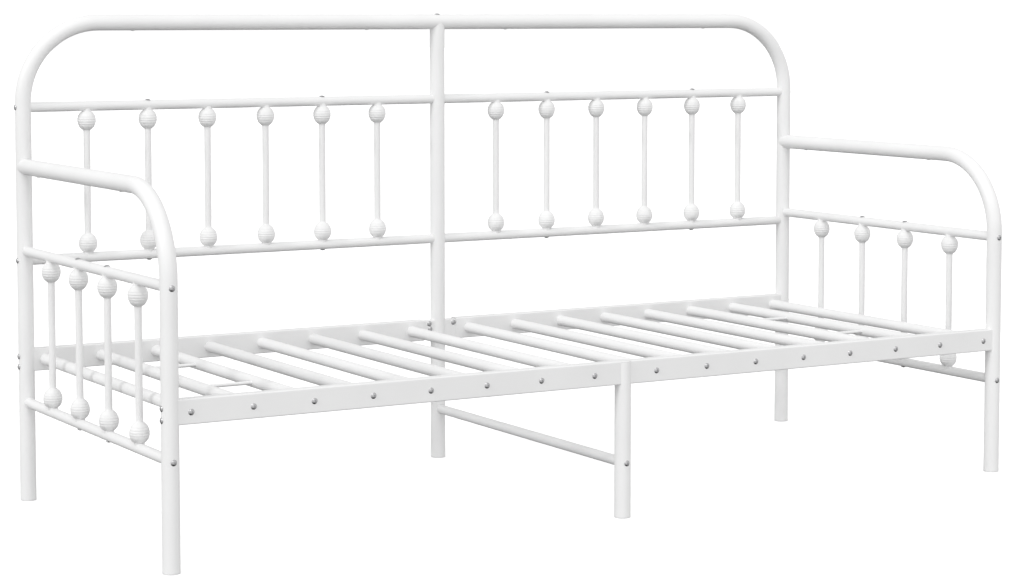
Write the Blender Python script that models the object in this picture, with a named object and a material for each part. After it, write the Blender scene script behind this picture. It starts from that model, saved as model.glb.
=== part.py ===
"""A vintage-style single daybed of powder-coated steel tube, built as the separate pieces it bolts up from.

World frame, in metres: X runs along the length (+X is to the right as seen from the front), the front faces -Y,
+Z is up, and the origin lies on the floor under the middle of the bed. A tube that meets a round tube ends in a
saddle: each line of its wall stops on that tube's surface, one ASSEMBLY_GAP away.
"""

import math

import bmesh
import bpy

# Overall frame. Post spacings are from tube axis to tube axis; heights are of tube axes above the floor.
POST_SPACING_X = 2.060
POST_SPACING_Y = 0.818
ARCH_AXIS_Z = 1.0505
ARM_BELOW_ARCH = 0.3135
ASSEMBLY_GAP = 0.0003

# Main tube: the arch, the arms, the centre post and the centre leg.
FRAME_TUBE_DIAMETER = 0.035
FRAME_TUBE_WALL = 0.0015
ARCH_BEND_RADIUS = 0.175
ARM_BEND_RADIUS = 0.175

# Slim rails that hold the spindles. The top of an upper one comes just past where its bend starts, and the lower
# ones are spaced from them.
SLIM_TUBE_DIAMETER = 0.022
SLIM_TUBE_WALL = 0.0012
BACK_RAIL_PAST_BEND = 0.0020
BACK_RAIL_SPACING = 0.3355
ARM_RAIL_PAST_BEND = 0.0010
ARM_RAIL_SPACING = 0.3340
CROSSBAR_Z = 0.1187

# Spindles: a thin rod with an egg-shaped bead at each end, whose neck is hollowed to sit on the rail. A bead is
# two half ellipses, a shorter one towards its rail and a longer one towards the rod.
ROD_DIAMETER = 0.015
BEAD_DIAMETER = 0.0410
BEAD_RAIL_HALF = 0.0220
BEAD_ROD_HALF = 0.0240
BEAD_NECK_DIAMETER = 0.0200
BEAD_NECK_LENGTH = 0.0004
BACK_SPINDLES_PER_BAY = 6
BACK_SPINDLE_FROM_CENTRE = 0.1622
BACK_SPINDLE_FROM_LEG = 0.1458
ARM_SPINDLES = 4
ARM_SPINDLE_FROM_FRONT = 0.1570
ARM_SPINDLE_FROM_BACK = 0.1660

# Side rails, in two halves along the front and two along the back, and the slats between them.
SIDE_RAIL_HEIGHT = 0.050
SIDE_RAIL_DEPTH = 0.025
SIDE_RAIL_WALL = 0.0020
SIDE_RAIL_Z = 0.3120
SLATS_PER_HALF = 8
SLAT_FROM_CENTRE = 0.0782
SLAT_FROM_LEG = 0.0390
SLAT_DIAMETER = 0.025
SLAT_WALL = 0.0012

# Thin tie rods between the second and third slats from each end.
TIE_ROD_DIAMETER = 0.008
TIE_ROD_SPACING = 0.294

# The rear halves stop short of the centre post, which reaches into them with a welded box spigot on each side.
SPIGOT_BARE_LENGTH = 0.0265
SPIGOT_HIDDEN_LENGTH = 0.0300
SPIGOT_WALL = 0.0020
SPIGOT_CLEARANCE = 0.0004

# Each leg is closed at the foot by a disc with a drain hole, rounded off where it meets the floor.
FOOT_CHAMFER = 0.0015
FOOT_THICKNESS = 0.0030
DRAIN_HOLE_DIAMETER = 0.0080

# The centre leg is closed on top by a low dome: (share of the tube's radius, height over the side rails).
LEG_DOME = ((1.0, -0.0010), (0.9, 0.0), (0.5, 0.0010))
LEG_TOP_THICKNESS = 0.0030

# Mesh resolution: sides of a round section, steps of a bend and of a bead.
FRAME_TUBE_SIDES = 20
SLIM_TUBE_SIDES = 16
SLAT_SIDES = 12
SPINDLE_SIDES = 12
TIE_ROD_SIDES = 8
BEND_STEPS = 8
BEAD_RAIL_STEPS = 2
BEAD_ROD_STEPS = 4
RAIL_DEPTH_STEPS = 6
SMOOTH_ANGLE = math.radians(40)

# Radii that follow from the sizes above. A seat is the radius a neighbouring end is cut to.
FRAME_RADIUS = FRAME_TUBE_DIAMETER / 2
FRAME_BORE = FRAME_RADIUS - FRAME_TUBE_WALL
FRAME_SEAT = FRAME_RADIUS + ASSEMBLY_GAP
SLIM_RADIUS = SLIM_TUBE_DIAMETER / 2
SLIM_SEAT = SLIM_RADIUS + ASSEMBLY_GAP
SLAT_RADIUS = SLAT_DIAMETER / 2
SLAT_SEAT = SLAT_RADIUS + ASSEMBLY_GAP

# Places that follow from the sizes above.
END_X = POST_SPACING_X / 2
BACK_Y = POST_SPACING_Y / 2
FRONT_Y = -POST_SPACING_Y / 2
ARCH_BEND_Z = ARCH_AXIS_Z - ARCH_BEND_RADIUS
ARM_AXIS_Z = ARCH_AXIS_Z - ARM_BELOW_ARCH
ARM_BEND_Z = ARM_AXIS_Z - ARM_BEND_RADIUS
BACK_UPPER_RAIL_Z = ARCH_BEND_Z + BACK_RAIL_PAST_BEND - SLIM_RADIUS
BACK_LOWER_RAIL_Z = BACK_UPPER_RAIL_Z - BACK_RAIL_SPACING
ARM_UPPER_RAIL_Z = ARM_BEND_Z + ARM_RAIL_PAST_BEND - SLIM_RADIUS
ARM_LOWER_RAIL_Z = ARM_UPPER_RAIL_Z - ARM_RAIL_SPACING
RAIL_TOP_Z = SIDE_RAIL_Z + SIDE_RAIL_HEIGHT / 2
RAIL_FACE = SIDE_RAIL_DEPTH / 2 + ASSEMBLY_GAP
REAR_RAIL_START = FRAME_RADIUS + SPIGOT_BARE_LENGTH

SIDES = (("left", -1), ("right", 1))

# A closed foot as (radius, height), from the outer wall over the rounded edge and the drain hole to the bore.
FOOT_PROFILE = (
    (FRAME_RADIUS, FOOT_CHAMFER),
    (FRAME_RADIUS - FOOT_CHAMFER, 0.0),
    (DRAIN_HOLE_DIAMETER / 2, 0.0),
    (DRAIN_HOLE_DIAMETER / 2, FOOT_THICKNESS),
    (FRAME_BORE, FOOT_THICKNESS),
)

# Order in which a straight piece's two offsets and its length go into X, Y and Z.
AXIS_ORDER = {"X": (2, 0, 1), "Y": (0, 2, 1), "Z": (0, 1, 2)}


def clear_scene():
    """Removes whatever the open scene holds."""
    for obj in list(bpy.data.objects):
        bpy.data.objects.remove(obj, do_unlink=True)


def finish(name, colour, roughness, metallic=0.0):
    """Returns a Principled material."""
    material = bpy.data.materials.new(name)
    material.use_nodes = True
    shader = material.node_tree.nodes["Principled BSDF"]
    shader.inputs["Base Color"].default_value = (*colour, 1.0)
    shader.inputs["Roughness"].default_value = roughness
    shader.inputs["Metallic"].default_value = metallic
    return material


def frame_finish():
    """Cream-white satin powder coat on the main tubes."""
    return finish("powder_coat_frame", (0.83, 0.83, 0.82), 0.42)


def rail_finish():
    """The same coat on the slim rails and side rails."""
    return finish("powder_coat_rail", (0.81, 0.81, 0.80), 0.44)


def spindle_finish():
    """The same coat over the rods and their cast beads."""
    return finish("powder_coat_spindle", (0.82, 0.82, 0.81), 0.46)


def slat_finish():
    """The same coat on the slats and the tie rods between them."""
    return finish("powder_coat_slat", (0.83, 0.83, 0.82), 0.40)


def add_object(name, bm, material):
    """Puts a closed bmesh into the scene as one named object, with its faces pointing out."""
    bmesh.ops.recalc_face_normals(bm, faces=bm.faces)
    mesh = bpy.data.meshes.new(name)
    bm.to_mesh(mesh)
    bm.free()
    mesh.shade_smooth()
    mesh.set_sharp_from_angle(angle=SMOOTH_ANGLE)
    mesh.materials.append(material)
    obj = bpy.data.objects.new(name, mesh)
    bpy.context.scene.collection.objects.link(obj)
    return obj


def add_ring(bm, points):
    """Adds one closed loop of vertices."""
    return [bm.verts.new(point) for point in points]


def join_rings(bm, rings):
    """Fills the bands between successive loops of equal count with quads."""
    for ring_a, ring_b in zip(rings, rings[1:]):
        for i in range(len(ring_a)):
            after = (i + 1) % len(ring_a)
            bm.faces.new((ring_a[i], ring_a[after], ring_b[after], ring_b[i]))


def close_in_strips(bm, ring):
    """Fills a round loop of even count with strips that each cross it at one first offset, so a saddle stays true."""
    count = len(ring)
    for i in range(count // 2):
        corners = [ring[i], ring[i + 1], ring[(count - i - 1) % count], ring[(count - i) % count]]
        bm.faces.new(dict.fromkeys(corners))


def circle(radius, sides):
    """Offsets of a round section, as (u, v) pairs that start on the first offset's axis."""
    turns = [2 * math.pi * i / sides for i in range(sides)]
    return [(radius * math.cos(turn), radius * math.sin(turn)) for turn in turns]


def rectangle(depth, height):
    """Offsets of a rectangular section whose top and bottom edges are divided, so that they can follow a saddle."""
    across = [-depth / 2 + depth * i / RAIL_DEPTH_STEPS for i in range(RAIL_DEPTH_STEPS + 1)]
    bottom = [(u, -height / 2) for u in across]
    top = [(u, height / 2) for u in reversed(across)]
    return bottom + top


def saddle(seat, offset):
    """Distance from a round tube's axis to a surface of radius seat round it, at a given sideways offset."""
    return math.sqrt(seat**2 - offset**2)


def section_at(axis, centre, outline, stop):
    """World points of a section: centre gives the two cross coordinates, and stop(u, v) the place along the axis."""
    points = []
    for u, v in outline:
        values = (centre[0] + u, centre[1] + v, stop(u, v))
        points.append([values[k] for k in AXIS_ORDER[axis]])
    return points


def straight_tube(name, axis, centre, outer, inner, start, end, material):
    """A straight hollow section, open at both ends. start and end take (u, v) and say where that line ends."""
    bm = bmesh.new()
    walls = ((outer, start), (outer, end), (inner, end), (inner, start))
    rings = [add_ring(bm, section_at(axis, centre, outline, stop)) for outline, stop in walls]
    join_rings(bm, rings + rings[:1])
    return add_object(name, bm, material)


def slim_tube(name, axis, centre, start, end, material):
    """A length of the slim round tube."""
    outer = circle(SLIM_RADIUS, SLIM_TUBE_SIDES)
    inner = circle(SLIM_RADIUS - SLIM_TUBE_WALL, SLIM_TUBE_SIDES)
    return straight_tube(name, axis, centre, outer, inner, start, end, material)


def bend(centre, radius, first, last):
    """Places along an arc in an upright plane, each as (along, height, outward along, outward up)."""
    places = []
    for i in range(BEND_STEPS + 1):
        turn = first + (last - first) * i / BEND_STEPS
        reach, rise = math.cos(turn), math.sin(turn)
        places.append((centre[0] + radius * reach, centre[1] + radius * rise, reach, rise))
    return places


def foot_sections(along, outward):
    """The closed foot of a bent tube, as (radius, place) pairs from the outer wall to the bore."""
    return [(radius, (along, height, outward, 0.0)) for radius, height in FOOT_PROFILE]


def bent_loop(bm, section, point, trim):
    """One loop of a bent tube: point(along, side, height) gives the world point, and trim(side) moves it along."""
    radius, (along, height, out_along, out_height) = section
    points = []
    for side, out in circle(radius, FRAME_TUBE_SIDES):
        points.append(point(along + out * out_along + trim(side), side, height + out * out_height))
    return add_ring(bm, points)


def untrimmed(side):
    """No change of place: the loop is square to the path."""
    return 0.0


def arm_trim(side):
    """How far each line of an arm's wall stops short of the rear leg's axis."""
    return -saddle(FRAME_SEAT, side)


def back_arch(material):
    """The top tube of the back and both rear legs: one tube with two quarter bends, closed at both feet."""
    bend_x = END_X - ARCH_BEND_RADIUS
    path = bend((-bend_x, ARCH_BEND_Z), ARCH_BEND_RADIUS, math.pi, math.pi / 2)
    path += bend((bend_x, ARCH_BEND_Z), ARCH_BEND_RADIUS, math.pi / 2, 0.0)
    sections = foot_sections(-END_X, -1.0)[::-1]
    sections += [(FRAME_RADIUS, place) for place in path]
    sections += foot_sections(END_X, 1.0)
    sections += [(FRAME_BORE, place) for place in reversed(path)]
    bm = bmesh.new()

    def point(along, side, height):
        return (along, BACK_Y + side, height)

    rings = [bent_loop(bm, section, point, untrimmed) for section in sections]
    join_rings(bm, rings + rings[:1])
    add_object("back_arch", bm, material)


def arms(material):
    """Each arm and its front leg: one tube that is saddled on the rear leg and bends down to a closed foot."""
    bend_y = FRONT_Y + ARM_BEND_RADIUS
    path = bend((bend_y, ARM_BEND_Z), ARM_BEND_RADIUS, math.pi / 2, math.pi)
    seat = (BACK_Y, ARM_AXIS_Z, 0.0, 1.0)
    for name, sign in SIDES:
        bm = bmesh.new()

        def point(along, side, height, x=sign * END_X):
            return (x + side, along, height)

        sections = [(FRAME_RADIUS, place) for place in path] + foot_sections(FRONT_Y, -1.0)
        sections += [(FRAME_BORE, place) for place in reversed(path)]
        rings = [bent_loop(bm, (FRAME_RADIUS, seat), point, arm_trim)]
        rings += [bent_loop(bm, section, point, untrimmed) for section in sections]
        rings.append(bent_loop(bm, (FRAME_BORE, seat), point, arm_trim))
        join_rings(bm, rings + rings[:1])
        add_object(f"arm_{name}", bm, material)


def upright_rings(bm, y, profile):
    """Loops of an upright on the middle line; each height in the profile is a number or a function of (u, v)."""
    rings = []
    for radius, height in profile:
        stop = height if callable(height) else lambda u, v, h=height: h
        outline = circle(radius, FRAME_TUBE_SIDES)
        rings.append(add_ring(bm, section_at("Z", (0.0, y), outline, stop)))
    return rings


def spigot(name, sign, material):
    """A hollow box that starts in the centre post's wall and runs into a rear rail, kept out of the render."""
    depth = SIDE_RAIL_DEPTH - 2 * (SIDE_RAIL_WALL + SPIGOT_CLEARANCE)
    height = SIDE_RAIL_HEIGHT - 2 * (SIDE_RAIL_WALL + SPIGOT_CLEARANCE)
    root = FRAME_RADIUS - FRAME_TUBE_WALL / 2
    helper = straight_tube(
        f"spigot_{name}",
        "X",
        (BACK_Y, SIDE_RAIL_Z),
        rectangle(depth, height),
        rectangle(depth - 2 * SPIGOT_WALL, height - 2 * SPIGOT_WALL),
        lambda u, v: sign * saddle(root, u),
        lambda u, v: sign * (REAR_RAIL_START + SPIGOT_HIDDEN_LENGTH),
        material,
    )
    helper.hide_render = True
    helper.display_type = "WIRE"
    return helper


def centre_post(material):
    """The upright in the middle of the back: a closed foot, a saddle under the arch, and two welded spigots."""

    def top(u, v):
        return ARCH_AXIS_Z - saddle(FRAME_SEAT, v)

    bm = bmesh.new()
    rings = upright_rings(bm, BACK_Y, (*FOOT_PROFILE, (FRAME_BORE, top), (FRAME_RADIUS, top)))
    join_rings(bm, rings + rings[:1])
    post = add_object("rear_centre_post", bm, material)
    for name, sign in SIDES:
        union = post.modifiers.new(f"spigot_{name}", "BOOLEAN")
        union.operation = "UNION"
        union.solver = "EXACT"
        union.object = spigot(name, sign, material)


def centre_leg(material):
    """The short front leg in the middle, closed on top by a low dome, with a drain hole in its foot."""
    dome = [(FRAME_RADIUS * share, RAIL_TOP_Z + rise) for share, rise in LEG_DOME]
    profile = (*dome[::-1], *FOOT_PROFILE, (FRAME_BORE, RAIL_TOP_Z - LEG_TOP_THICKNESS))
    bm = bmesh.new()
    rings = upright_rings(bm, FRONT_Y, profile)
    join_rings(bm, rings)
    bm.faces.new(rings[0])
    bm.faces.new(rings[-1])
    add_object("front_centre_leg", bm, material)


def from_centre(sign):
    """Ends of a piece between the centre upright and a corner leg, as functions of the sideways offset."""
    return (
        lambda u, v: sign * saddle(FRAME_SEAT, u),
        lambda u, v: sign * (END_X - saddle(FRAME_SEAT, u)),
    )


def front_to_back():
    """Ends of a piece between a front leg and a rear leg, as functions of the sideways offset."""
    return (
        lambda u, v: FRONT_Y + saddle(FRAME_SEAT, u),
        lambda u, v: BACK_Y - saddle(FRAME_SEAT, u),
    )


def back_rails(material):
    """Upper and lower slim rails of each bay, saddled between a rear leg and the centre post."""
    for level, height in (("upper", BACK_UPPER_RAIL_Z), ("lower", BACK_LOWER_RAIL_Z)):
        for name, sign in SIDES:
            slim_tube(f"back_{level}_rail_{name}", "X", (BACK_Y, height), *from_centre(sign), material)


def arm_rails(material):
    """Upper and lower slim rails of each arm, saddled between the rear leg and the front leg."""
    for level, height in (("upper", ARM_UPPER_RAIL_Z), ("lower", ARM_LOWER_RAIL_Z)):
        for name, sign in SIDES:
            centre = (sign * END_X, height)
            slim_tube(f"arm_{name}_{level}_rail", "Y", centre, *front_to_back(), material)


def crossbar(material):
    """The low slim tube between the centre leg and the centre post."""
    slim_tube("centre_crossbar", "Y", (0.0, CROSSBAR_Z), *front_to_back(), material)


def bead_profile():
    """A bead as (radius, height over its neck's end), from the neck over the widest point to the rod."""
    wide = BEAD_DIAMETER / 2
    first = -math.acos(BEAD_NECK_DIAMETER / BEAD_DIAMETER)
    last = math.acos(ROD_DIAMETER / BEAD_DIAMETER)
    turns = [first * (1 - i / BEAD_RAIL_STEPS) for i in range(BEAD_RAIL_STEPS)]
    turns += [last * i / BEAD_ROD_STEPS for i in range(BEAD_ROD_STEPS + 1)]
    profile = []
    for turn in turns:
        half = BEAD_RAIL_HALF if turn < 0 else BEAD_ROD_HALF
        profile.append((wide * math.cos(turn), half * math.sin(turn) - BEAD_RAIL_HALF * math.sin(first)))
    return profile


def spindle(name, place, rail_heights, across, material):
    """A rod with a bead at each end, seated on the lower rail and under the upper one.

    place is (x, y), rail_heights the two rails' axes, and across turns (across the rail, along it) into (x, y).
    """
    low, high = rail_heights
    neck = BEAD_NECK_DIAMETER / 2
    bead = bead_profile()
    sections = [(neck, lambda p: low + saddle(SLIM_SEAT, p))]
    for radius, height in bead:
        sections.append((radius, lambda p, z=low + SLIM_SEAT + BEAD_NECK_LENGTH + height: z))
    for radius, height in reversed(bead):
        sections.append((radius, lambda p, z=high - SLIM_SEAT - BEAD_NECK_LENGTH - height: z))
    sections.append((neck, lambda p: high - saddle(SLIM_SEAT, p)))
    bm = bmesh.new()
    rings = []
    for radius, height in sections:
        points = []
        for p, q in circle(radius, SPINDLE_SIDES):
            x, y = across(p, q)
            points.append((place[0] + x, place[1] + y, height(p)))
        rings.append(add_ring(bm, points))
    join_rings(bm, rings)
    close_in_strips(bm, rings[0])
    close_in_strips(bm, rings[-1])
    add_object(name, bm, material)


def back_spindles(material):
    """Spindles of the two bays of the back, numbered outwards from the centre post."""
    gaps = BACK_SPINDLES_PER_BAY - 1
    pitch = (END_X - BACK_SPINDLE_FROM_CENTRE - BACK_SPINDLE_FROM_LEG) / gaps
    heights = (BACK_LOWER_RAIL_Z, BACK_UPPER_RAIL_Z)
    for name, sign in SIDES:
        for i in range(BACK_SPINDLES_PER_BAY):
            place = (sign * (BACK_SPINDLE_FROM_CENTRE + i * pitch), BACK_Y)
            spindle(f"back_spindle_{name}_{i + 1}", place, heights, lambda p, q: (q, p), material)


def arm_spindles(material):
    """Spindles of the arms, numbered from the front."""
    pitch = (POST_SPACING_Y - ARM_SPINDLE_FROM_FRONT - ARM_SPINDLE_FROM_BACK) / (ARM_SPINDLES - 1)
    heights = (ARM_LOWER_RAIL_Z, ARM_UPPER_RAIL_Z)
    for name, sign in SIDES:
        for i in range(ARM_SPINDLES):
            place = (sign * END_X, FRONT_Y + ARM_SPINDLE_FROM_FRONT + i * pitch)
            spindle(f"arm_spindle_{name}_{i + 1}", place, heights, lambda p, q: (p, q), material)


def side_rail(name, y, start, end, material):
    """A length of the box-section side rail."""
    outer = rectangle(SIDE_RAIL_DEPTH, SIDE_RAIL_HEIGHT)
    inner = rectangle(SIDE_RAIL_DEPTH - 2 * SIDE_RAIL_WALL, SIDE_RAIL_HEIGHT - 2 * SIDE_RAIL_WALL)
    straight_tube(name, "X", (y, SIDE_RAIL_Z), outer, inner, start, end, material)


def side_rails(material):
    """The front halves, saddled on the centre leg, and the rear ones, cut square and slid over the spigots."""
    for name, sign in SIDES:
        near_leg, far_leg = from_centre(sign)
        side_rail(f"front_rail_{name}", FRONT_Y, near_leg, far_leg, material)
        side_rail(f"rear_rail_{name}", BACK_Y, lambda u, v, s=sign: s * REAR_RAIL_START, far_leg, material)


def slat_places():
    """X of every slat, from the left end to the right."""
    pitch = (END_X - SLAT_FROM_CENTRE - SLAT_FROM_LEG) / (SLATS_PER_HALF - 1)
    half = [SLAT_FROM_CENTRE + i * pitch for i in range(SLATS_PER_HALF)]
    return [-x for x in reversed(half)] + half


def slats(material):
    """Round slats between the inner faces of the side rails, numbered from the left end."""
    outer = circle(SLAT_RADIUS, SLAT_SIDES)
    inner = circle(SLAT_RADIUS - SLAT_WALL, SLAT_SIDES)
    for i, x in enumerate(slat_places()):
        straight_tube(
            f"slat_{i + 1:02d}",
            "Y",
            (x, SIDE_RAIL_Z),
            outer,
            inner,
            lambda u, v: FRONT_Y + RAIL_FACE,
            lambda u, v: BACK_Y - RAIL_FACE,
            material,
        )


def tie_rods(material):
    """Two thin rods at each end of the bed, hollowed to sit between the second and third slats."""
    places = slat_places()
    spans = {"left": (places[1], places[2]), "right": (places[-3], places[-2])}
    outline = circle(TIE_ROD_DIAMETER / 2, TIE_ROD_SIDES)
    for name, (near, far) in spans.items():
        for row, y in (("front", -TIE_ROD_SPACING / 2), ("rear", TIE_ROD_SPACING / 2)):
            bm = bmesh.new()
            stops = (
                lambda u, v, x=near: x + saddle(SLAT_SEAT, v),
                lambda u, v, x=far: x - saddle(SLAT_SEAT, v),
            )
            rings = [add_ring(bm, section_at("X", (y, SIDE_RAIL_Z), outline, stop)) for stop in stops]
            join_rings(bm, rings)
            turned = len(outline) // 4
            for ring in rings:
                close_in_strips(bm, ring[turned:] + ring[:turned])
            add_object(f"tie_rod_{name}_{row}", bm, material)


def build():
    """Builds every piece of the daybed."""
    clear_scene()
    frame = frame_finish()
    rail = rail_finish()
    turnings = spindle_finish()
    bars = slat_finish()
    back_arch(frame)
    arms(frame)
    centre_post(frame)
    centre_leg(frame)
    back_rails(rail)
    arm_rails(rail)
    crossbar(rail)
    side_rails(rail)
    back_spindles(turnings)
    arm_spindles(turnings)
    slats(bars)
    tie_rods(bars)


build()
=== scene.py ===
import math

import bpy
import numpy as np
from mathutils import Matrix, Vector


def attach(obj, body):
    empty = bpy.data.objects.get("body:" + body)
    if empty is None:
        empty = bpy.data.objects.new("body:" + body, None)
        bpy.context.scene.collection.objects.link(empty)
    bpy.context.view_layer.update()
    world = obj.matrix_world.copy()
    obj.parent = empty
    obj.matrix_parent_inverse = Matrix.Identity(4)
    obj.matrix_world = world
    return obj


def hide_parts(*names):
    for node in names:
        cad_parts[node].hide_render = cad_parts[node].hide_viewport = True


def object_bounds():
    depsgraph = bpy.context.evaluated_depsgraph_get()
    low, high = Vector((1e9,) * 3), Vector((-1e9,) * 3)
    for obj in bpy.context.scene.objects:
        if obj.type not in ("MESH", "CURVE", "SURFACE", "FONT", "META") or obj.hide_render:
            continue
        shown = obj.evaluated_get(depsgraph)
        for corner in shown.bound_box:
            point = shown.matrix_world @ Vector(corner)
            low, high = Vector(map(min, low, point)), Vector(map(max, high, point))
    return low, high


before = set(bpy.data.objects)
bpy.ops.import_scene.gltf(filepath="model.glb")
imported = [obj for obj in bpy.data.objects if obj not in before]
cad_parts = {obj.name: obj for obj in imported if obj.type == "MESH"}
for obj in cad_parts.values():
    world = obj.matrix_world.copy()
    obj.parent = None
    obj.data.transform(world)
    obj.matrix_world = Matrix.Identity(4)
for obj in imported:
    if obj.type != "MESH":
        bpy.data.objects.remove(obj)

CAD_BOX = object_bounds()

# Sizes of the bed in metres. X runs along it, the front faces -Y, and Z is height above the floor.
# Radii of the tubes, rods and beads.
FRAME_R = 0.0175
SLIM_R = 0.0110
SLAT_R = 0.0125
TIE_ROD_R = 0.0040
ROD_R = 0.0075
BEAD_R = 0.0205

# How many sides each round piece is drawn with.
FRAME_SIDES = 48
SLIM_SIDES = 36
SLAT_SIDES = 36
TIE_ROD_SIDES = 20
SPINDLE_SIDES = 40
BOLT_SIDES = 36
PLUG_SIDES = 28

# Lines of the main tubes, from the box of the CAD: beads stand out furthest at the ends and at the back.
LOW, HIGH = np.round(CAD_BOX, 4)
END_X = HIGH[0] - BEAD_R
BACK_Y = HIGH[1] - BEAD_R
FRONT_Y = LOW[1] + FRAME_R
ARCH_Z = HIGH[2] - FRAME_R
ARM_Z = ARCH_Z - 0.3135
BEND_RADIUS = 0.175
CROSSBAR_Z = 0.1187

# Lower and upper slim rails. The top of an upper one comes just past the start of its bend.
BACK_UPPER_Z = ARCH_Z - BEND_RADIUS + 0.0020 - SLIM_R
BACK_RAILS = (BACK_UPPER_Z - 0.3355, BACK_UPPER_Z)
ARM_UPPER_Z = ARM_Z - BEND_RADIUS + 0.0010 - SLIM_R
ARM_RAILS = (ARM_UPPER_Z - 0.3340, ARM_UPPER_Z)

# Box side rails and the spigots that the rear ones slide over.
RAIL_Z = 0.3120
RAIL_HALF_HEIGHT = 0.0250
RAIL_HALF_DEPTH = 0.0125
RAIL_CORNER = 0.0028
REAR_RAIL_START = 0.0440
SPIGOT_HALF_HEIGHT = 0.0226
SPIGOT_HALF_DEPTH = 0.0100
SPIGOT_CORNER = 0.0020
SPIGOT_IN_RAIL = 0.0300

# Slats and tie rods. Slats are counted from the left.
SLAT_X = np.linspace(0.0782, END_X - 0.0390, 8)
ALL_SLAT_X = np.concatenate((-SLAT_X[::-1], SLAT_X))
SLAT_RIM = 0.0004
TIE_ROD_Y = (-0.147, 0.147)

# Spindles. A bead is widest BEAD_FROM_RAIL from its rail's axis, and shorter towards the rail than
# towards the rod.
BACK_SPINDLE_X = np.linspace(0.1622, END_X - 0.1458, 6)
ARM_SPINDLE_Y = np.linspace(FRONT_Y + 0.1570, BACK_Y - 0.1660, 4)
BEAD_FROM_RAIL = 0.0305
BEAD_RAIL_HALF = 0.0220
BEAD_ROD_HALF = 0.0240
BEAD_FILLET = 0.0016
NECK_R = 0.0098
GROOVES_AT = np.array([-0.0056, 0.0, 0.0056, 0.0112])
GROOVE_DEPTH = 0.0007
GROOVE_HALF_WIDTH = 0.0010

# Bolts: the head, and where the ones that follow no other piece sit.
BOLT_HEAD_R = 0.0064
BOLT_HEIGHT = 0.0034
BOLT_RIM = 0.0005
BOLT_SUNK = 0.0005
HEX_HALF = 0.0020
HEX_FLOOR = 0.0012
BOLT_BELOW_AXIS = 0.0010
CORNER_BOLT_Z = (0.3200, 0.2970)
SPIGOT_BOLTS = ((0.0375, 0.3265), (-0.0280, 0.3270), (-0.0260, 0.3140))
BOLTED_BACK_SPINDLES = (1, 4)
BOLTED_ARM_SPINDLES = (1, 2)

# Plugs, feet and the front leg's cap.
ARCH_VENT_X = (-0.7730, -0.1885, 0.1885, 0.7730)
ARM_VENT_Y = (0.3120, -0.1715)
FOOT_PLUG = 0.0042
FOOT_ROUND_OFF = 0.0007
DRAIN_R = 0.0036
CENTRE_LEG_TOP = RAIL_Z + RAIL_HALF_HEIGHT - 0.0020

# A tube's end reaches this far into the tube that it is welded to, so that no light shows between them.
WELD = 0.0001
FRAME_SEAT = FRAME_R - WELD
SLIM_SEAT = SLIM_R - WELD
SLAT_SEAT = SLAT_R - WELD

SIDES = (("left", -1.0), ("right", 1.0))
TAU = 2 * math.pi


def linear(code):
    """An sRGB hex colour as linear (r, g, b, 1).

    Each share c becomes c / 12.92 if it is small, and ((c + 0.055) / 1.055) to the power of 2.4 if not.
    """
    shares = np.array([int(code[i : i + 2], 16) for i in (1, 3, 5)]) / 255.0
    values = np.where(shares <= 0.04045, shares / 12.92, ((shares + 0.055) / 1.055) ** 2.4)
    return (*values.tolist(), 1.0)


def node(tree, kind, settings=(), inputs=(), links=()):
    """Adds one node. settings are its own attributes, inputs its sockets' values, links (socket, source)."""
    made = tree.nodes.new(kind)
    for name, value in dict(settings).items():
        setattr(made, name, value)
    for name, value in dict(inputs).items():
        made.inputs[name].default_value = value
    for name, source in dict(links).items():
        tree.links.new(source, made.inputs[name])
    return made


def new_material(name):
    """An empty node material, its node tree and its output node."""
    material = bpy.data.materials.new(name)
    material.use_nodes = True
    material.node_tree.nodes.clear()
    output = material.node_tree.nodes.new("ShaderNodeOutputMaterial")
    return material, material.node_tree, output


def powder_coat(name, light, shade, roughness, peel_mm, peel_depth):
    """Polyester powder coat baked on steel: a satin, nearly white film with a soft sheen.

    Its faint orange peel gives highlights a slightly broken edge. Real peel is 1 to 2 mm across; it is drawn
    at peel_mm so that it shows. The film is a shade darker where it is thinner, in patches about 150 mm
    across, and its gloss drifts a little over about 40 mm. A noise's scale is 1000 over its size in mm.
    """
    material, tree, output = new_material(name)
    place = node(tree, "ShaderNodeTexCoord").outputs["Object"]
    patches = node(
        tree, "ShaderNodeTexNoise", (), {"Scale": 6.5, "Detail": 3.0, "Roughness": 0.5}, {"Vector": place}
    )
    tone = node(tree, "ShaderNodeValToRGB", (), (), {"Fac": patches.outputs["Fac"]})
    for stop, position, colour in zip(tone.color_ramp.elements, (0.30, 0.68), (shade, light)):
        stop.position = position
        stop.color = linear(colour)
    drift = node(tree, "ShaderNodeTexNoise", (), {"Scale": 1000.0 / 40.0, "Detail": 2.0}, {"Vector": place})
    gloss = node(
        tree,
        "ShaderNodeMapRange",
        (),
        {"From Min": 0.3, "From Max": 0.7, "To Min": roughness - 0.03, "To Max": roughness + 0.04},
        {"Value": drift.outputs["Fac"]},
    )
    peel = node(
        tree,
        "ShaderNodeTexNoise",
        (),
        {"Scale": 1000.0 / peel_mm, "Detail": 2.0, "Roughness": 0.45},
        {"Vector": place},
    )
    bump = node(
        tree,
        "ShaderNodeBump",
        (),
        {"Strength": 0.35, "Distance": peel_depth},
        {"Height": peel.outputs["Fac"]},
    )
    shader = node(
        tree,
        "ShaderNodeBsdfPrincipled",
        (),
        {"IOR": 1.50, "Specular IOR Level": 0.45},
        {
            "Base Color": tone.outputs["Color"],
            "Roughness": gloss.outputs["Result"],
            "Normal": bump.outputs["Normal"],
        },
    )
    tree.links.new(shader.outputs["BSDF"], output.inputs["Surface"])
    return material


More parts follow.
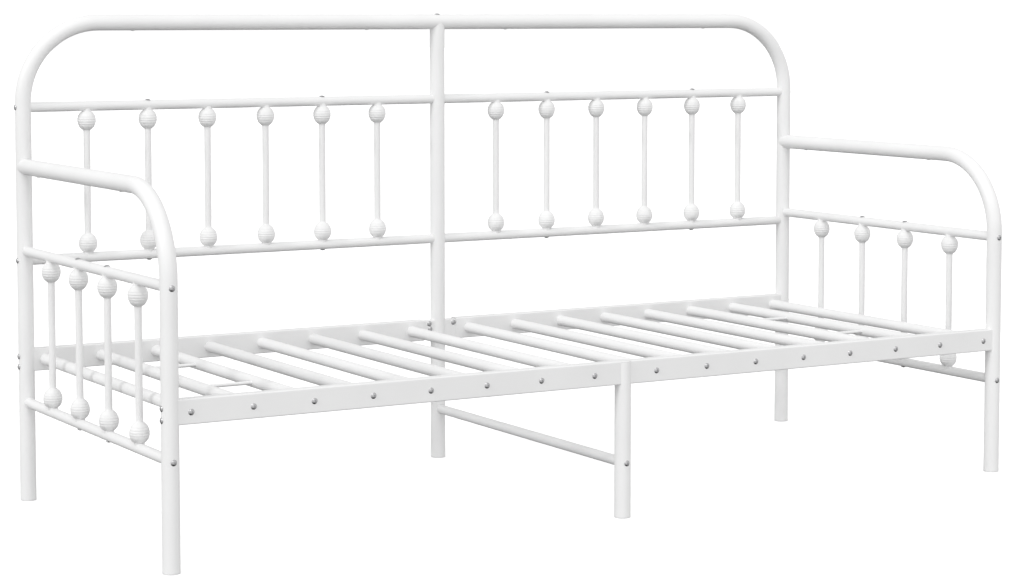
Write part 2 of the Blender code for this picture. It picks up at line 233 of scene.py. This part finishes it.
def bright_zinc(name):
    """Bright zinc plated steel: a clear grey metal, pale on top and dark underneath, that glints at the lamp.

    Its fine tumbling marks have no direction, so they are drawn as noise 0.625 mm across.
    """
    material, tree, output = new_material(name)
    place = node(tree, "ShaderNodeTexCoord").outputs["Object"]
    grit = node(tree, "ShaderNodeTexNoise", (), {"Scale": 1000.0 / 0.625, "Detail": 3.0}, {"Vector": place})
    tone = node(tree, "ShaderNodeValToRGB", (), (), {"Fac": grit.outputs["Fac"]})
    for stop, position, colour in zip(tone.color_ramp.elements, (0.25, 0.75), ("#aeaeaf", "#c8c8c9")):
        stop.position = position
        stop.color = linear(colour)
    rough = node(
        tree, "ShaderNodeMapRange", (), {"To Min": 0.27, "To Max": 0.38}, {"Value": grit.outputs["Fac"]}
    )
    shader = node(
        tree,
        "ShaderNodeBsdfPrincipled",
        (),
        {"Metallic": 1.0},
        {"Base Color": tone.outputs["Color"], "Roughness": rough.outputs["Result"]},
    )
    tree.links.new(shader.outputs["BSDF"], output.inputs["Surface"])
    return material


def moulded_plastic(name, light, shade, roughness):
    """Low-density polyethylene from a spark-eroded mould: pale, waxy, with an even grain 0.8 mm across."""
    material, tree, output = new_material(name)
    place = node(tree, "ShaderNodeTexCoord").outputs["Object"]
    grain = node(tree, "ShaderNodeTexNoise", (), {"Scale": 1000.0 / 0.8, "Detail": 2.0}, {"Vector": place})
    tone = node(tree, "ShaderNodeValToRGB", (), (), {"Fac": grain.outputs["Fac"]})
    for stop, colour in zip(tone.color_ramp.elements, (shade, light)):
        stop.color = linear(colour)
    bump = node(
        tree, "ShaderNodeBump", (), {"Strength": 0.3, "Distance": 0.00006}, {"Height": grain.outputs["Fac"]}
    )
    shader = node(
        tree,
        "ShaderNodeBsdfPrincipled",
        (),
        {"Roughness": roughness, "IOR": 1.51},
        {"Base Color": tone.outputs["Color"], "Normal": bump.outputs["Normal"]},
    )
    tree.links.new(shader.outputs["BSDF"], output.inputs["Surface"])
    return material


FRAME_COAT = powder_coat("satin_white_powder_coat_on_frame_tube", "#ebebeb", "#e7e7e7", 0.40, 5.0, 0.00010)
RAIL_COAT = powder_coat("satin_white_powder_coat_on_rails", "#eaeaea", "#e6e6e6", 0.42, 5.0, 0.00010)
SPINDLE_COAT = powder_coat("satin_white_powder_coat_on_spindles", "#eaeaea", "#e5e5e5", 0.44, 4.0, 0.00012)
SLAT_COAT = powder_coat("satin_white_powder_coat_on_slats", "#ececec", "#e8e8e8", 0.38, 5.0, 0.00010)
BOLT_METAL = bright_zinc("bright_zinc_plated_steel")
PLUG_PLASTIC = moulded_plastic("white_polyethylene_plug", "#e5e5e5", "#e0e0e0", 0.45)
FOOT_PLASTIC = moulded_plastic("white_polyethylene_foot", "#e5e5e5", "#dfdfdf", 0.50)


def grid_quads(rows, columns):
    """Corner numbers of the quads of a rows by columns grid whose columns close round."""
    r, c = np.meshgrid(np.arange(rows - 1), np.arange(columns), indexing="ij")
    after = (c + 1) % columns
    here, above = r * columns, (r + 1) * columns
    return np.stack((here + c, here + after, above + after, above + c), axis=-1).reshape(-1, 4)


def fan(ring, centre, turned):
    """Triangles from a closed ring of corner numbers to its centre, in the other order where turned."""
    after = np.roll(ring, -1)
    middle = np.full(ring.size, centre)
    return np.stack((after, ring, middle) if turned else (ring, after, middle), axis=-1)


def surface(name, grids, material, replaced=()):
    """One finished piece from one or more grids of points, each rows by columns by 3.

    The columns of a grid close round, and its first and last rows are closed by fans to their mean point.
    The volume under the faces, one sixth of the sum of each face's triple product, says whether they point
    out, and a grid with a negative one is turned round.
    """
    corners, faces, first = [], [], 0
    for grid in grids:
        rows, columns = grid.shape[:2]
        poles = np.stack((grid[0].mean(axis=0), grid[-1].mean(axis=0)))
        points = np.concatenate((grid.reshape(-1, 3), poles))
        quads = grid_quads(rows, columns)
        lower = fan(np.arange(columns), rows * columns, True)
        upper = fan(np.arange(columns) + (rows - 1) * columns, rows * columns + 1, False)
        triangles = np.concatenate((quads[:, [0, 1, 2]], quads[:, [0, 2, 3]], lower, upper))
        a, b, c = (points[triangles[:, k]] - points.mean(axis=0) for k in range(3))
        if np.einsum("ij,ij->", a, np.cross(b, c)) < 0:
            quads, lower, upper = quads[:, ::-1], lower[:, ::-1], upper[:, ::-1]
        corners.append(points)
        faces += [*(quads + first).tolist(), *(lower + first).tolist(), *(upper + first).tolist()]
        first += len(points)
    mesh = bpy.data.meshes.new(name)
    mesh.from_pydata(np.concatenate(corners).tolist(), [], faces)
    mesh.shade_smooth()
    mesh.set_sharp_from_angle(angle=math.radians(38))
    mesh.materials.append(material)
    piece = bpy.data.objects.new(name, mesh)
    bpy.context.scene.collection.objects.link(piece)
    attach(piece, "root")
    if replaced:
        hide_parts(*replaced)


def round_section(radius, sides):
    """(u, v) of a circle: u is the radius times the cosine of the turn, v the radius times its sine."""
    turn = np.arange(sides) * TAU / sides
    return np.stack((radius * np.cos(turn), radius * np.sin(turn)), axis=-1)


def box_section(half_depth, half_height, corner):
    """(u, v) round a rectangle whose corners are quarter circles.

    Its flat top and bottom are divided in eight, and each flat side has a point near either corner, so that
    the sides stay flat to the eye while the corners between them are smooth.
    """
    quarter = np.linspace(0, TAU / 4, 6)
    near = 0.0004
    parts = []
    for k, (su, sv) in enumerate(((1, 1), (-1, 1), (-1, -1), (1, -1))):
        turn = quarter + k * TAU / 4
        cu, cv = su * (half_depth - corner), sv * (half_height - corner)
        parts.append(np.stack((cu + corner * np.cos(turn), cv + corner * np.sin(turn)), axis=-1))
        if k in (0, 2):
            u = np.concatenate(([cu - su * near], np.linspace(cu, -cu, 9)[1:-1], [su * near - cu]))
            parts.append(np.stack((u, np.full(u.size, cv + sv * corner)), axis=-1))
        else:
            v = np.array([cv - sv * near, sv * near - cv])
            parts.append(np.stack((np.full(2, cu + su * corner), v), axis=-1))
    return np.concatenate(parts)


def saddle(reach, offset):
    """How far from its axis a round tube of radius reach has its surface at a sideways offset: Pythagoras."""
    return np.sqrt(reach**2 - np.clip(np.abs(offset), 0, reach) ** 2)


def bar_grid(axis, centre, section, start, end, soft=0.0):
    """A straight bar: its section is carried from start to end along one axis.

    centre holds the two cross coordinates. start and end are one place, or one for each point of the section.
    A soft edge pulls the end rings in by soft and adds a full ring soft further on, which rounds the rim.
    """
    ends = [(section, start), (section, end)]
    if soft:
        way = np.sign(end - start)
        pulled = section * (1 - soft / np.linalg.norm(section, axis=1, keepdims=True))
        ends = [(pulled, start), (section, start + way * soft), (section, end - way * soft), (pulled, end)]
    column = "XYZ".index(axis)
    return np.stack([np.insert(outline + centre, column, place, axis=1) for outline, place in ends])


def lathe_grid(origin, radius, height, sides):
    """A profile turned about an upright axis: x and y are the radius times the turn's cosine and sine."""
    turn = np.arange(sides) * TAU / sides
    x = origin[0] + np.outer(radius, np.cos(turn))
    y = origin[1] + np.outer(radius, np.sin(turn))
    z = np.broadcast_to((origin[2] + height)[:, None], x.shape)
    return np.stack((x, y, z), axis=-1)


def arc(centre, turns):
    """Path rows (along, height, outward along, outward up) on a quarter circle of the bend's radius."""
    reach, rise = np.cos(turns), np.sin(turns)
    return np.stack((centre[0] + BEND_RADIUS * reach, centre[1] + BEND_RADIUS * rise, reach, rise), axis=-1)


def straight(first, last, outward, count):
    """Path rows on a straight line between two (along, height) points, with one outward direction."""
    share = np.linspace(0, 1, count)[:, None]
    line = np.array(first) * (1 - share) + np.array(last) * share
    return np.concatenate((line, np.tile(outward, (count, 1))), axis=1)


def bent_grid(path, plane, trim=None):
    """A main tube along a bent path in an upright plane.

    Each row is the path's point, plus the section's side offset across the plane, plus its other offset along
    the path's outward direction. plane is ("X", y) or ("Y", x). trim gives, for each side offset, how far the
    first row moves along.
    """
    side, out = round_section(FRAME_R, FRAME_SIDES).T
    along = path[:, 0:1] + out * path[:, 2:3]
    height = path[:, 1:2] + out * path[:, 3:4]
    if trim is not None:
        along[0] += trim(side)
    across = np.broadcast_to(plane[1] + side, along.shape)
    order = (along, across, height) if plane[0] == "X" else (across, along, height)
    return np.stack(order, axis=-1)


def back_arch():
    """The arch: up the left leg, a quarter bend, along the top, a quarter bend, and down the right leg."""
    bend_x, bend_z = END_X - BEND_RADIUS, ARCH_Z - BEND_RADIUS
    path = np.concatenate(
        (
            straight((-END_X, FOOT_PLUG), (-END_X, bend_z), (-1, 0), 12),
            arc((-bend_x, bend_z), np.linspace(TAU / 2, TAU / 4, 25))[1:],
            straight((-bend_x, ARCH_Z), (bend_x, ARCH_Z), (0, 1), 24)[1:],
            arc((bend_x, bend_z), np.linspace(TAU / 4, 0, 25))[1:],
            straight((END_X, bend_z), (END_X, FOOT_PLUG), (1, 0), 12)[1:],
        )
    )
    surface("arch_tube", [bent_grid(path, ("X", BACK_Y))], FRAME_COAT, ["back_arch"])


def arms():
    """Each arm: from its saddle on the rear leg, forward, round a quarter bend and down the front leg."""
    bend_y, bend_z = FRONT_Y + BEND_RADIUS, ARM_Z - BEND_RADIUS
    path = np.concatenate(
        (
            straight((BACK_Y, ARM_Z), (bend_y, ARM_Z), (0, 1), 14),
            arc((bend_y, bend_z), np.linspace(TAU / 4, TAU / 2, 25))[1:],
            straight((FRONT_Y, bend_z), (FRONT_Y, FOOT_PLUG), (-1, 0), 10)[1:],
        )
    )
    for name, sign in SIDES:
        grid = bent_grid(path, ("Y", sign * END_X), lambda side: -saddle(FRAME_SEAT, side))
        surface(f"arm_tube_{name}", [grid], FRAME_COAT, [f"arm_{name}"])


def centre_uprights():
    """The rear post, from its foot to a saddle under the arch, its two box spigots, and the front leg."""
    section = round_section(FRAME_R, FRAME_SIDES)
    top = ARCH_Z - saddle(FRAME_SEAT, section[:, 1])
    post = bar_grid("Z", (0.0, BACK_Y), section, FOOT_PLUG, top)
    surface("centre_post_tube", [post], FRAME_COAT, ["rear_centre_post"])
    box = box_section(SPIGOT_HALF_DEPTH, SPIGOT_HALF_HEIGHT, SPIGOT_CORNER)
    root = saddle(FRAME_SEAT, box[:, 0])
    tip = REAR_RAIL_START + SPIGOT_IN_RAIL
    spigots = [bar_grid("X", (BACK_Y, RAIL_Z), box, sign * root, sign * tip) for _, sign in SIDES]
    surface("centre_post_spigots", spigots, FRAME_COAT)
    leg = bar_grid("Z", (0.0, FRONT_Y), section, FOOT_PLUG, CENTRE_LEG_TOP)
    surface("centre_leg_tube", [leg], FRAME_COAT, ["front_centre_leg"])


def slim_rails():
    """The slim tubes: each ends in a saddle on the surface of the tube that it meets."""
    section = round_section(SLIM_R, SLIM_SIDES)
    seat = saddle(FRAME_SEAT, section[:, 0])
    for level, height in zip(("lower", "upper"), BACK_RAILS):
        for name, sign in SIDES:
            grid = bar_grid("X", (BACK_Y, height), section, sign * seat, sign * (END_X - seat))
            surface(f"back_{level}_tube_{name}", [grid], RAIL_COAT, [f"back_{level}_rail_{name}"])
    for level, height in zip(("lower", "upper"), ARM_RAILS):
        for name, sign in SIDES:
            grid = bar_grid("Y", (sign * END_X, height), section, FRONT_Y + seat, BACK_Y - seat)
            surface(f"arm_{level}_tube_{name}", [grid], RAIL_COAT, [f"arm_{name}_{level}_rail"])
    grid = bar_grid("Y", (0.0, CROSSBAR_Z), section, FRONT_Y + seat, BACK_Y - seat)
    surface("low_crossbar_tube", [grid], RAIL_COAT, ["centre_crossbar"])


def side_rails():
    """Box-section rails with rolled corners; the rear ones stop square, short of the centre post."""
    section = box_section(RAIL_HALF_DEPTH, RAIL_HALF_HEIGHT, RAIL_CORNER)
    seat = saddle(FRAME_SEAT, section[:, 0])
    for row, y, near in (("front", FRONT_Y, seat), ("rear", BACK_Y, REAR_RAIL_START)):
        for name, sign in SIDES:
            grid = bar_grid("X", (y, RAIL_Z), section, sign * near, sign * (END_X - seat))
            surface(f"{row}_box_rail_{name}", [grid], RAIL_COAT, [f"{row}_rail_{name}"])


def slats():
    """Sixteen round slats from one side rail's inner face to the other's, each with a softened rim."""
    section = round_section(SLAT_R, SLAT_SIDES)
    first, last = FRONT_Y + RAIL_HALF_DEPTH, BACK_Y - RAIL_HALF_DEPTH
    for number, x in enumerate(ALL_SLAT_X, 1):
        grid = bar_grid("Y", (x, RAIL_Z), section, first, last, SLAT_RIM)
        surface(f"slat_tube_{number:02d}", [grid], SLAT_COAT, [f"slat_{number:02d}"])


def tie_rods():
    """Thin rods between the second and third slats from each end, hollowed to the slats' surfaces."""
    section = round_section(TIE_ROD_R, TIE_ROD_SIDES)
    seat = saddle(SLAT_SEAT, section[:, 1])
    for name, sign in SIDES:
        for row, y in zip(("front", "rear"), TIE_ROD_Y):
            start, end = sign * (SLAT_X[-3] + seat), sign * (SLAT_X[-2] - seat)
            grid = bar_grid("X", (y, RAIL_Z), section, start, end)
            surface(f"tie_bar_{name}_{row}", [grid], SLAT_COAT, [f"tie_rod_{name}_{row}"])


def bead_radius(z):
    """Radius of a bead at a height z over its widest point, towards the rod.

    It is a half ellipse on either side of its widest point. Near the rod the two are joined by a fillet: the
    mean of their radii, plus half the root of their difference squared plus the fillet squared. Each turned
    groove sinks it by a bell curve of the groove's depth and half width.
    """
    half = np.where(z < 0, BEAD_RAIL_HALF, BEAD_ROD_HALF)
    ball = BEAD_R * np.sqrt(np.clip(1 - (z / half) ** 2, 0, 1))
    radius = (ball + ROD_R + np.sqrt((ball - ROD_R) ** 2 + BEAD_FILLET**2)) / 2
    groove = np.exp(-(((z[:, None] - GROOVES_AT) / GROOVE_HALF_WIDTH) ** 2)).sum(axis=1)
    return radius - GROOVE_DEPTH * groove


def spindle(name, place, rails, across, replaced):
    """A rod with a bead at each end. Each end row follows its rail: the rail's height plus or minus a saddle.

    across gives the axis, 0 for X or 1 for Y, that crosses the rail. The bead's profile has a row every
    0.45 mm, and two more rows carry the plain rod on.
    """
    low, high = rails
    bead = np.linspace(-0.0190, 0.0236, 96)
    local = np.concatenate((bead, [0.0262, 0.0300]))
    radius = np.concatenate((bead_radius(bead), [ROD_R, ROD_R]))
    lower = low + BEAD_FROM_RAIL + local
    upper = high - BEAD_FROM_RAIL - local[::-1]
    profile = np.concatenate(([NECK_R], radius, radius[::-1], [NECK_R]))
    height = np.concatenate(([low + SLIM_R], lower, upper, [high - SLIM_R]))
    grid = lathe_grid((*place, 0.0), profile, height, SPINDLE_SIDES)
    offset = grid[0, :, across] - place[across]
    grid[0, :, 2] = low + saddle(SLIM_SEAT, offset)
    grid[-1, :, 2] = high - saddle(SLIM_SEAT, offset)
    surface(name, [grid], SPINDLE_COAT, [replaced])


def spindles():
    """Six spindles in each bay of the back, on rails along X, and four in each arm, on rails along Y."""
    for name, sign in SIDES:
        for number, x in enumerate(BACK_SPINDLE_X, 1):
            tail = f"{name}_{number}"
            spindle(f"back_rod_{tail}", (sign * x, BACK_Y), BACK_RAILS, 1, f"back_spindle_{tail}")
        for number, y in enumerate(ARM_SPINDLE_Y, 1):
            tail = f"{name}_{number}"
            spindle(f"arm_rod_{tail}", (sign * END_X, y), ARM_RAILS, 0, f"arm_spindle_{tail}")


def turned_to(grid, seats):
    """Copies of a grid that stands on +Z at the origin, one for each seat (place, direction), as a list.

    The turn's columns are two directions at right angles to the seat's direction, and that direction itself.
    """
    grids = []
    for place, direction in seats:
        w = np.array(direction, float)
        u = np.cross(w, (0, 0, 1) if abs(w[2]) < 0.9 else (1, 0, 0))
        u /= np.linalg.norm(u)
        turn = np.stack((u, np.cross(w, u), w), axis=-1)
        grids.append(grid @ turn.T + np.array(place))
    return grids


def bolt_grid():
    """A button head bolt: a spherical dome over a thin rim, with a hexagon socket.

    The dome's height is the head's, less what a circle of its curvature drops by at each radius. The socket's
    radius is the hexagon's half width over the cosine of the turn from its nearest flat.
    """
    turn = np.arange(BOLT_SIDES) * TAU / BOLT_SIDES
    dome = BOLT_HEIGHT - BOLT_RIM
    curve = (BOLT_HEAD_R**2 + dome**2) / (2 * dome)
    ring = np.linspace(BOLT_HEAD_R, 0.0029, 9)[1:]
    crown = BOLT_HEIGHT - curve + np.sqrt(curve**2 - ring**2)
    outer = np.concatenate(([BOLT_HEAD_R - 0.0002, BOLT_HEAD_R], ring))
    hexagon = HEX_HALF / np.cos((turn + TAU / 12) % (TAU / 6) - TAU / 12)
    radii = np.concatenate((outer[:, None] * np.ones(BOLT_SIDES), [hexagon * 1.06, hexagon, hexagon]))
    heights = np.concatenate(([0.0, BOLT_RIM], crown, [crown[-1] + 0.0001, crown[-1] - 0.0002, HEX_FLOOR]))
    z = np.broadcast_to(heights[:, None], radii.shape)
    return np.stack((radii * np.cos(turn), radii * np.sin(turn), z), axis=-1)


def bolts():
    """Button head bolts wherever two tubes are held together, gathered by the tube that carries them."""
    ahead, behind, up, down = (0, -1, 0), (0, 1, 0), (0, 0, 1), (0, 0, -1)
    rail_z = RAIL_Z - BOLT_BELOW_AXIS
    front_rail = [((x, FRONT_Y - RAIL_HALF_DEPTH, rail_z), ahead) for x in ALL_SLAT_X]
    rear_rail = [((x, BACK_Y + RAIL_HALF_DEPTH, rail_z), behind) for x in ALL_SLAT_X]
    corner, spindle_ends = [], []
    for _, sign in SIDES:
        x, outside = sign * END_X, sign * (END_X + FRAME_R)
        corner += [((outside, BACK_Y, z), (sign, 0, 0)) for z in BACK_RAILS]
        corner += [((outside, y, z), (sign, 0, 0)) for y in (BACK_Y, FRONT_Y) for z in CORNER_BOLT_Z]
        corner += [((x, FRONT_Y - FRAME_R, z - BOLT_BELOW_AXIS), ahead) for z in ARM_RAILS]
        corner += [((x, BACK_Y + FRAME_R, z - BOLT_BELOW_AXIS), behind) for z in ARM_RAILS]
        for i in BOLTED_BACK_SPINDLES:
            spindle_ends.append(((sign * BACK_SPINDLE_X[i], BACK_Y, BACK_RAILS[1] + SLIM_R), up))
            spindle_ends.append(((sign * BACK_SPINDLE_X[i], BACK_Y, BACK_RAILS[0] - SLIM_R), down))
        for i in BOLTED_ARM_SPINDLES:
            spindle_ends.append(((x, ARM_SPINDLE_Y[i], ARM_RAILS[1] + SLIM_R), up))
            spindle_ends.append(((x, ARM_SPINDLE_Y[i], ARM_RAILS[0] - SLIM_R), down))
    middle = [
        ((0.0, FRONT_Y - FRAME_R, CROSSBAR_Z), ahead),
        ((0.0, BACK_Y + FRAME_R, CROSSBAR_Z), behind),
        ((0.0, BACK_Y, ARCH_Z + FRAME_R), up),
    ]
    middle += [((x, BACK_Y - SPIGOT_HALF_DEPTH, z), ahead) for x, z in SPIGOT_BOLTS]
    groups = {
        "front_rail_bolts": front_rail,
        "rear_rail_bolts": rear_rail,
        "corner_leg_bolts": corner,
        "middle_bolts": middle,
        "spindle_bolts": spindle_ends,
    }
    for name, seats in groups.items():
        sunk = [(np.array(place) - BOLT_SUNK * np.array(way), way) for place, way in seats]
        surface(name, turned_to(bolt_grid(), sunk), BOLT_METAL)


def vent_plugs():
    """Domed plugs in the vent holes under the arch and the arms: a quarter ellipse turned about its axis."""
    turn = np.linspace(0, TAU / 4, 8)[:-1]
    radius = np.concatenate(([0.0040], 0.0045 * np.cos(turn)))
    height = np.concatenate(([-0.0006], 0.0014 * np.sin(turn)))
    plug = lathe_grid((0.0, 0.0, 0.0), radius, height, PLUG_SIDES)
    under_arch, under_arm = ARCH_Z - FRAME_R, ARM_Z - FRAME_R
    seats = [((x, BACK_Y, under_arch), (0, 0, -1)) for x in ARCH_VENT_X]
    seats += [((sign * END_X, y, under_arm), (0, 0, -1)) for _, sign in SIDES for y in ARM_VENT_Y]
    surface("vent_plugs", turned_to(plug, seats), PLUG_PLASTIC)


def feet():
    """A plug in each leg's end: a wall as wide as the tube, a quarter round to the sole, a drain hole."""
    turn = np.linspace(0, TAU / 4, 6)
    inside, wall_top, drain_top = FOOT_PLUG + 0.0030, FOOT_PLUG - 0.0002, 0.0026
    edge = FRAME_R - FOOT_ROUND_OFF + FOOT_ROUND_OFF * np.cos(turn)
    radius = np.concatenate(([0.0150, FRAME_R, FRAME_R], edge, [DRAIN_R + 0.0004, DRAIN_R, DRAIN_R]))
    sole = FOOT_ROUND_OFF * (1 - np.sin(turn))
    height = np.concatenate(([inside, wall_top, 0.0026], sole, [0.0, 0.0004, drain_top]))
    seats = [(x, y) for y in (BACK_Y, FRONT_Y) for x in (-END_X, 0.0, END_X)]
    grids = [lathe_grid((x, y, 0.0), radius, height, FRAME_SIDES) for x, y in seats]
    surface("foot_plugs", grids, FOOT_PLASTIC)


def leg_cap():
    """The cap on the short front leg: a rim flush with the tube and a quarter ellipse dome 2.2 mm high."""
    turn = np.linspace(0, TAU / 4, 10)[:-1]
    radius = np.concatenate(([0.0150, FRAME_R - 0.0003, FRAME_R], (FRAME_R - 0.0002) * np.cos(turn)))
    height = np.concatenate(([-0.0040, 0.0001, 0.0004], 0.0008 + 0.0022 * np.sin(turn)))
    cap = lathe_grid((0.0, FRONT_Y, CENTRE_LEG_TOP), radius, height, FRAME_SIDES)
    surface("front_leg_cap", [cap], PLUG_PLASTIC)


def stage_object(name, corners, faces, material):
    """A piece of the studio that only the camera sees; light passes it."""
    mesh = bpy.data.meshes.new(name)
    mesh.from_pydata(corners, [], faces)
    mesh.materials.append(material)
    piece = bpy.data.objects.new(name, mesh)
    bpy.context.scene.collection.objects.link(piece)
    piece.visible_diffuse = False
    piece.visible_glossy = False
    piece.visible_transmission = False
    piece.visible_shadow = False


def studio_floor(wide):
    """A matt white floor, a square that reaches wide from the middle, with a glow that keeps it pale."""
    material, tree, output = new_material("matt_white_vinyl_floor")
    diffuse = node(tree, "ShaderNodeBsdfDiffuse", (), {"Color": linear("#e8e8e8")})
    glow = node(tree, "ShaderNodeEmission", (), {"Color": linear("#ffffff"), "Strength": 0.40})
    both = node(tree, "ShaderNodeAddShader", (), (), {0: diffuse.outputs[0], 1: glow.outputs[0]})
    tree.links.new(both.outputs[0], output.inputs["Surface"])
    corners = [(-wide, -wide, 0), (wide, -wide, 0), (wide, wide, 0), (-wide, wide, 0)]
    stage_object("studio_floor", corners, [(0, 1, 2, 3)], material)


def studio_surround(wide):
    """White walls and a white ceiling round the floor, as one open box."""
    material, tree, output = new_material("white_surround")
    glow = node(tree, "ShaderNodeEmission", (), {"Color": linear("#ffffff"), "Strength": 1.05})
    tree.links.new(glow.outputs[0], output.inputs["Surface"])
    low, high = -2.0, 50.0
    walls = [(-wide, -wide), (wide, -wide), (wide, wide), (-wide, wide)]
    corners = [(x, y, low) for x, y in walls] + [(x, y, high) for x, y in walls]
    sides = [(i, (i + 1) % 4, (i + 1) % 4 + 4, i + 4) for i in range(4)]
    stage_object("studio_surround", corners, sides + [(4, 5, 6, 7)], material)


def studio_sky():
    """A soft light from everywhere, a little stronger from the front, that fades downwards.

    Its strength is 0.89, plus the dot product of the direction with a slope, plus 1.30 times how far the
    direction's height is under -0.18.
    """
    world = bpy.data.worlds.new("studio_light")
    world.use_nodes = True
    bpy.context.scene.world = world
    tree = world.node_tree
    tree.nodes.clear()
    way = node(tree, "ShaderNodeTexCoord").outputs["Generated"]
    slope = node(
        tree, "ShaderNodeVectorMath", {"operation": "DOT_PRODUCT"}, {1: (-0.05, -0.17, 0.02)}, {0: way}
    )
    base = node(tree, "ShaderNodeMath", {"operation": "ADD"}, {1: 0.89}, {0: slope.outputs["Value"]})
    height = node(tree, "ShaderNodeSeparateXYZ", (), (), {0: way}).outputs["Z"]
    raised = node(tree, "ShaderNodeMath", {"operation": "ADD"}, {1: 0.18}, {0: height})
    below = node(tree, "ShaderNodeMath", {"operation": "MINIMUM"}, {1: 0.0}, {0: raised.outputs[0]})
    level = node(
        tree,
        "ShaderNodeMath",
        {"operation": "MULTIPLY_ADD"},
        {1: 1.30},
        {0: below.outputs[0], 2: base.outputs[0]},
    )
    sky = node(
        tree, "ShaderNodeBackground", (), {"Color": (1.0, 1.0, 1.0, 1.0)}, {"Strength": level.outputs[0]}
    )
    output = node(tree, "ShaderNodeOutputWorld")
    tree.links.new(sky.outputs[0], output.inputs["Surface"])


def softbox(name, power, softness, rise, swing):
    """A soft far lamp. softness is its width, rise its height and swing its turn from -X to -Y, in degrees."""
    lamp = bpy.data.lights.new(name, "SUN")
    lamp.energy = power
    lamp.angle = math.radians(softness)
    box = bpy.data.objects.new(name, lamp)
    lift, turn = math.radians(rise), math.radians(swing)
    towards = Vector((-math.cos(lift) * math.cos(turn), -math.cos(lift) * math.sin(turn), math.sin(lift)))
    box.rotation_euler = towards.to_track_quat("Z", "Y").to_euler()
    bpy.context.scene.collection.objects.link(box)


def studio():
    """A pale floor in a white surround, a soft sky, and two soft lamps, from the left and from the front."""
    studio_floor(60.0)
    studio_surround(60.0)
    studio_sky()
    softbox("left_softbox", 0.75, 9, 30, 8)
    softbox("front_softbox", 0.38, 22, 48, 62)


def camera():
    """A long lens a little above the bed's back, turned 30 degrees to the right and tipped slightly down."""
    data = bpy.data.cameras.new("camera")
    data.sensor_width = 36.0
    data.lens = 85.65
    data.shift_y = -0.10
    data.clip_start = 0.1
    data.clip_end = 300.0
    eye = bpy.data.objects.new("camera", data)
    eye.location = (-2.7902, -4.6947, 1.0735)
    turn, tip = math.radians(30.3817), math.radians(4.1551)
    look = Vector((math.sin(turn) * math.cos(tip), math.cos(turn) * math.cos(tip), -math.sin(tip)))
    eye.rotation_euler = look.to_track_quat("-Z", "Y").to_euler()
    bpy.context.scene.collection.objects.link(eye)
    bpy.context.scene.camera = eye
    bpy.context.scene.view_settings.view_transform = "Standard"


back_arch()
arms()
centre_uprights()
slim_rails()
side_rails()
slats()
tie_rods()
spindles()
bolts()
vent_plugs()
feet()
leg_cap()
studio()
camera()

bpy.context.view_layer.update()
